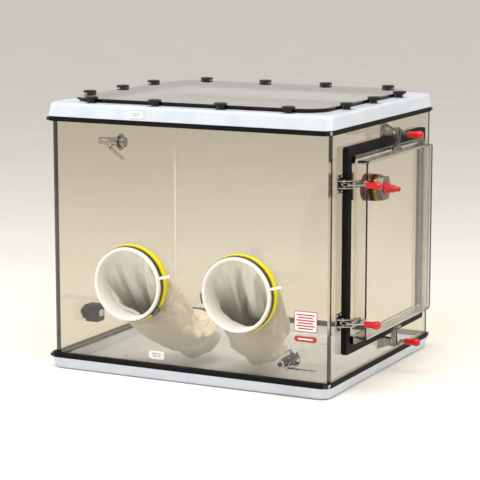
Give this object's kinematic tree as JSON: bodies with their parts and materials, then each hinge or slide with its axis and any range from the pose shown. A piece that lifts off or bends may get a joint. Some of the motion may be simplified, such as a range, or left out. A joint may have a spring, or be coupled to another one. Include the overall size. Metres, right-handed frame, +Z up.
{
  "type": "laboratory glove box",
  "caption": "Clear bench-top isolation chamber with a formed tray and cover, screwed-down hatch, glove ports with gauntlets and a clamped side door.",
  "frame": {"origin": "middle of the tray's flat underside", "axes": "+X to the user's right, towards the door; +Y away from the user; +Z up"},
  "size_m": [0.987, 0.75, 0.7318],
  "materials": {
    "white_formed_plastic": "satin",
    "clear_acrylic": "clear and polished",
    "black_rubber": "matt",
    "black_plastic": "moulded",
    "outlet_black": "moulded",
    "hinge_aluminium": "drawn",
    "steel_pin": "drawn",
    "clamp_steel": "zinc plated",
    "red_vinyl_grip": "dipped vinyl",
    "red_nozzle": "moulded",
    "fitting_brass": "machined",
    "valve_chrome": "plated",
    "yellow_port_ring": "moulded",
    "band_steel": "slotted band",
    "cream_gauntlet": "soft sheet"
  },
  "bodies": {
    "chamber": {"base_tray": "white_formed_plastic", "base_flange": "clear_acrylic", "base_seal": "black_rubber", "front_panel": "clear_acrylic", "back_panel": "clear_acrylic", "left_panel": "clear_acrylic", "right_panel": "clear_acrylic", "top_flange": "clear_acrylic", "top_seal": "black_rubber", "top_cover": "white_formed_plastic", "hatch_trim": "black_rubber", "hatch_panel": "clear_acrylic", "door_frame": "black_rubber", "hinge_frame_leaf": "hinge_aluminium", "hinge_pin": "steel_pin", "port_ring_left": "yellow_port_ring", "band_clamp_left": "band_steel", "gauntlet_left": "cream_gauntlet", "port_ring_right": "yellow_port_ring", "band_clamp_right": "band_steel", "gauntlet_right": "cream_gauntlet", "front_valve_body": "valve_chrome", "side_valve_body": "valve_chrome", "power_outlet": "outlet_black", "clamp_front_upper_base": "clamp_steel", "clamp_front_lower_base": "clamp_steel", "clamp_top_base": "clamp_steel", "clamp_bottom_base": "clamp_steel"},
    "door": {"door_shell": "clear_acrylic", "hinge_door_leaf": "hinge_aluminium", "hose_fitting": "fitting_brass", "hose_nozzle": "red_nozzle"},
    "clamp_front_upper_arm": {"clamp_front_upper_arm": "clamp_steel"},
    "clamp_front_upper_handle": {"clamp_front_upper_handle": "red_vinyl_grip"},
    "clamp_front_upper_link": {"clamp_front_upper_link": "clamp_steel"},
    "clamp_front_lower_arm": {"clamp_front_lower_arm": "clamp_steel"},
    "clamp_front_lower_handle": {"clamp_front_lower_handle": "red_vinyl_grip"},
    "clamp_front_lower_link": {"clamp_front_lower_link": "clamp_steel"},
    "clamp_top_arm": {"clamp_top_arm": "clamp_steel"},
    "clamp_top_handle": {"clamp_top_handle": "red_vinyl_grip"},
    "clamp_top_link": {"clamp_top_link": "clamp_steel"},
    "clamp_bottom_arm": {"clamp_bottom_arm": "clamp_steel"},
    "clamp_bottom_handle": {"clamp_bottom_handle": "red_vinyl_grip"},
    "clamp_bottom_link": {"clamp_bottom_link": "clamp_steel"},
    "hatch_knob_01": {"hatch_knob_01": "black_plastic"},
    "hatch_knob_02": {"hatch_knob_02": "black_plastic"},
    "hatch_knob_03": {"hatch_knob_03": "black_plastic"},
    "hatch_knob_04": {"hatch_knob_04": "black_plastic"},
    "hatch_knob_05": {"hatch_knob_05": "black_plastic"},
    "hatch_knob_06": {"hatch_knob_06": "black_plastic"},
    "hatch_knob_07": {"hatch_knob_07": "black_plastic"},
    "hatch_knob_08": {"hatch_knob_08": "black_plastic"},
    "hatch_knob_09": {"hatch_knob_09": "black_plastic"},
    "hatch_knob_10": {"hatch_knob_10": "black_plastic"},
    "hatch_knob_11": {"hatch_knob_11": "black_plastic"},
    "hatch_knob_12": {"hatch_knob_12": "black_plastic"},
    "hatch_knob_13": {"hatch_knob_13": "black_plastic"},
    "hatch_knob_14": {"hatch_knob_14": "black_plastic"},
    "front_valve_lever": {"front_valve_lever": "valve_chrome"},
    "side_valve_lever": {"side_valve_lever": "valve_chrome"}
  },
  "joints": [
    {"name": "door_hinge", "type": "hinge", "parent": "chamber", "child": "door", "pos_m": [0.4251, 0.2425, 0.365], "axis": [0, 0, 1], "range_deg": [0, 120]},
    {"name": "clamp_front_upper_arm_pivot", "type": "hinge", "parent": "chamber", "child": "clamp_front_upper_arm", "pos_m": [0.438, -0.2755, 0.54], "axis": [0, 0, -1], "range_deg": [0, 100]},
    {"name": "clamp_front_upper_handle_pivot", "type": "hinge", "parent": "clamp_front_upper_arm", "child": "clamp_front_upper_handle", "pos_m": [0.446, -0.2855, 0.54], "axis": [0, 0, -1], "range_deg": [-41.65, 0]},
    {"name": "clamp_front_upper_link_pivot", "type": "hinge", "parent": "chamber", "child": "clamp_front_upper_link", "pos_m": [0.418, -0.2836, 0.54], "axis": [0, 0, -1], "range_deg": [-92.2, 0]},
    {"name": "clamp_front_lower_arm_pivot", "type": "hinge", "parent": "chamber", "child": "clamp_front_lower_arm", "pos_m": [0.438, -0.2755, 0.19], "axis": [0, 0, -1], "range_deg": [0, 100]},
    {"name": "clamp_front_lower_handle_pivot", "type": "hinge", "parent": "clamp_front_lower_arm", "child": "clamp_front_lower_handle", "pos_m": [0.446, -0.2855, 0.19], "axis": [0, 0, -1], "range_deg": [-41.65, 0]},
    {"name": "clamp_front_lower_link_pivot", "type": "hinge", "parent": "chamber", "child": "clamp_front_lower_link", "pos_m": [0.418, -0.2836, 0.19], "axis": [0, 0, -1], "range_deg": [-92.2, 0]},
    {"name": "clamp_top_arm_pivot", "type": "hinge", "parent": "chamber", "child": "clamp_top_arm", "pos_m": [0.438, -0.001, 0.6405], "axis": [0, -1, 0], "range_deg": [0, 100]},
    {"name": "clamp_top_handle_pivot", "type": "hinge", "parent": "clamp_top_arm", "child": "clamp_top_handle", "pos_m": [0.446, -0.001, 0.6505], "axis": [0, -1, 0], "range_deg": [-41.65, 0]},
    {"name": "clamp_top_link_pivot", "type": "hinge", "parent": "chamber", "child": "clamp_top_link", "pos_m": [0.418, -0.001, 0.6486], "axis": [0, -1, 0], "range_deg": [-92.2, 0]},
    {"name": "clamp_bottom_arm_pivot", "type": "hinge", "parent": "chamber", "child": "clamp_bottom_arm", "pos_m": [0.438, -0.001, 0.0895], "axis": [0, 1, 0], "range_deg": [0, 100]},
    {"name": "clamp_bottom_handle_pivot", "type": "hinge", "parent": "clamp_bottom_arm", "child": "clamp_bottom_handle", "pos_m": [0.446, -0.001, 0.0795], "axis": [0, 1, 0], "range_deg": [-41.65, 0]},
    {"name": "clamp_bottom_link_pivot", "type": "hinge", "parent": "chamber", "child": "clamp_bottom_link", "pos_m": [0.418, -0.001, 0.0814], "axis": [0, 1, 0], "range_deg": [-92.2, 0]},
    {"name": "hatch_knob_01_turn", "type": "hinge", "parent": "chamber", "child": "hatch_knob_01", "pos_m": [-0.2835, -0.323, 0.72], "axis": [0, 0, 1], "continuous": true},
    {"name": "hatch_knob_02_turn", "type": "hinge", "parent": "chamber", "child": "hatch_knob_02", "pos_m": [-0.0945, -0.323, 0.72], "axis": [0, 0, 1], "continuous": true},
    {"name": "hatch_knob_03_turn", "type": "hinge", "parent": "chamber", "child": "hatch_knob_03", "pos_m": [0.0945, -0.323, 0.72], "axis": [0, 0, 1], "continuous": true},
    {"name": "hatch_knob_04_turn", "type": "hinge", "parent": "chamber", "child": "hatch_knob_04", "pos_m": [0.2835, -0.323, 0.72], "axis": [0, 0, 1], "continuous": true},
    {"name": "hatch_knob_05_turn", "type": "hinge", "parent": "chamber", "child": "hatch_knob_05", "pos_m": [0.377, -0.175, 0.72], "axis": [0, 0, 1], "continuous": true},
    {"name": "hatch_knob_06_turn", "type": "hinge", "parent": "chamber", "child": "hatch_knob_06", "pos_m": [0.377, 0, 0.72], "axis": [0, 0, 1], "continuous": true},
    {"name": "hatch_knob_07_turn", "type": "hinge", "parent": "chamber", "child": "hatch_knob_07", "pos_m": [0.377, 0.175, 0.72], "axis": [0, 0, 1], "continuous": true},
    {"name": "hatch_knob_08_turn", "type": "hinge", "parent": "chamber", "child": "hatch_knob_08", "pos_m": [0.2835, 0.323, 0.72], "axis": [0, 0, 1], "continuous": true},
    {"name": "hatch_knob_09_turn", "type": "hinge", "parent": "chamber", "child": "hatch_knob_09", "pos_m": [0.0945, 0.323, 0.72], "axis": [0, 0, 1], "continuous": true},
    {"name": "hatch_knob_10_turn", "type": "hinge", "parent": "chamber", "child": "hatch_knob_10", "pos_m": [-0.0945, 0.323, 0.72], "axis": [0, 0, 1], "continuous": true},
    {"name": "hatch_knob_11_turn", "type": "hinge", "parent": "chamber", "child": "hatch_knob_11", "pos_m": [-0.2835, 0.323, 0.72], "axis": [0, 0, 1], "continuous": true},
    {"name": "hatch_knob_12_turn", "type": "hinge", "parent": "chamber", "child": "hatch_knob_12", "pos_m": [-0.377, 0.175, 0.72], "axis": [0, 0, 1], "continuous": true},
    {"name": "hatch_knob_13_turn", "type": "hinge", "parent": "chamber", "child": "hatch_knob_13", "pos_m": [-0.377, 0, 0.72], "axis": [0, 0, 1], "continuous": true},
    {"name": "hatch_knob_14_turn", "type": "hinge", "parent": "chamber", "child": "hatch_knob_14", "pos_m": [-0.377, -0.175, 0.72], "axis": [0, 0, 1], "continuous": true},
    {"name": "front_valve_turn", "type": "hinge", "parent": "chamber", "child": "front_valve_lever", "pos_m": [0.3, -0.363, 0.096], "axis": [0, 0, -1], "range_deg": [0, 90]},
    {"name": "side_valve_turn", "type": "hinge", "parent": "chamber", "child": "side_valve_lever", "pos_m": [-0.427, 0.014, 0.571], "axis": [0, 0.5, 0.866], "range_deg": [0, 90]}
  ],
  "couplings": [
    {"joint": "clamp_front_upper_handle_pivot", "follows": "clamp_front_upper_arm_pivot", "ratio": -0.4164},
    {"joint": "clamp_front_upper_link_pivot", "follows": "clamp_front_upper_arm_pivot", "ratio": -0.9219},
    {"joint": "clamp_front_lower_handle_pivot", "follows": "clamp_front_lower_arm_pivot", "ratio": -0.4164},
    {"joint": "clamp_front_lower_link_pivot", "follows": "clamp_front_lower_arm_pivot", "ratio": -0.9219},
    {"joint": "clamp_top_handle_pivot", "follows": "clamp_top_arm_pivot", "ratio": -0.4164},
    {"joint": "clamp_top_link_pivot", "follows": "clamp_top_arm_pivot", "ratio": -0.9219},
    {"joint": "clamp_bottom_handle_pivot", "follows": "clamp_bottom_arm_pivot", "ratio": -0.4164},
    {"joint": "clamp_bottom_link_pivot", "follows": "clamp_bottom_arm_pivot", "ratio": -0.9219}
  ]
}
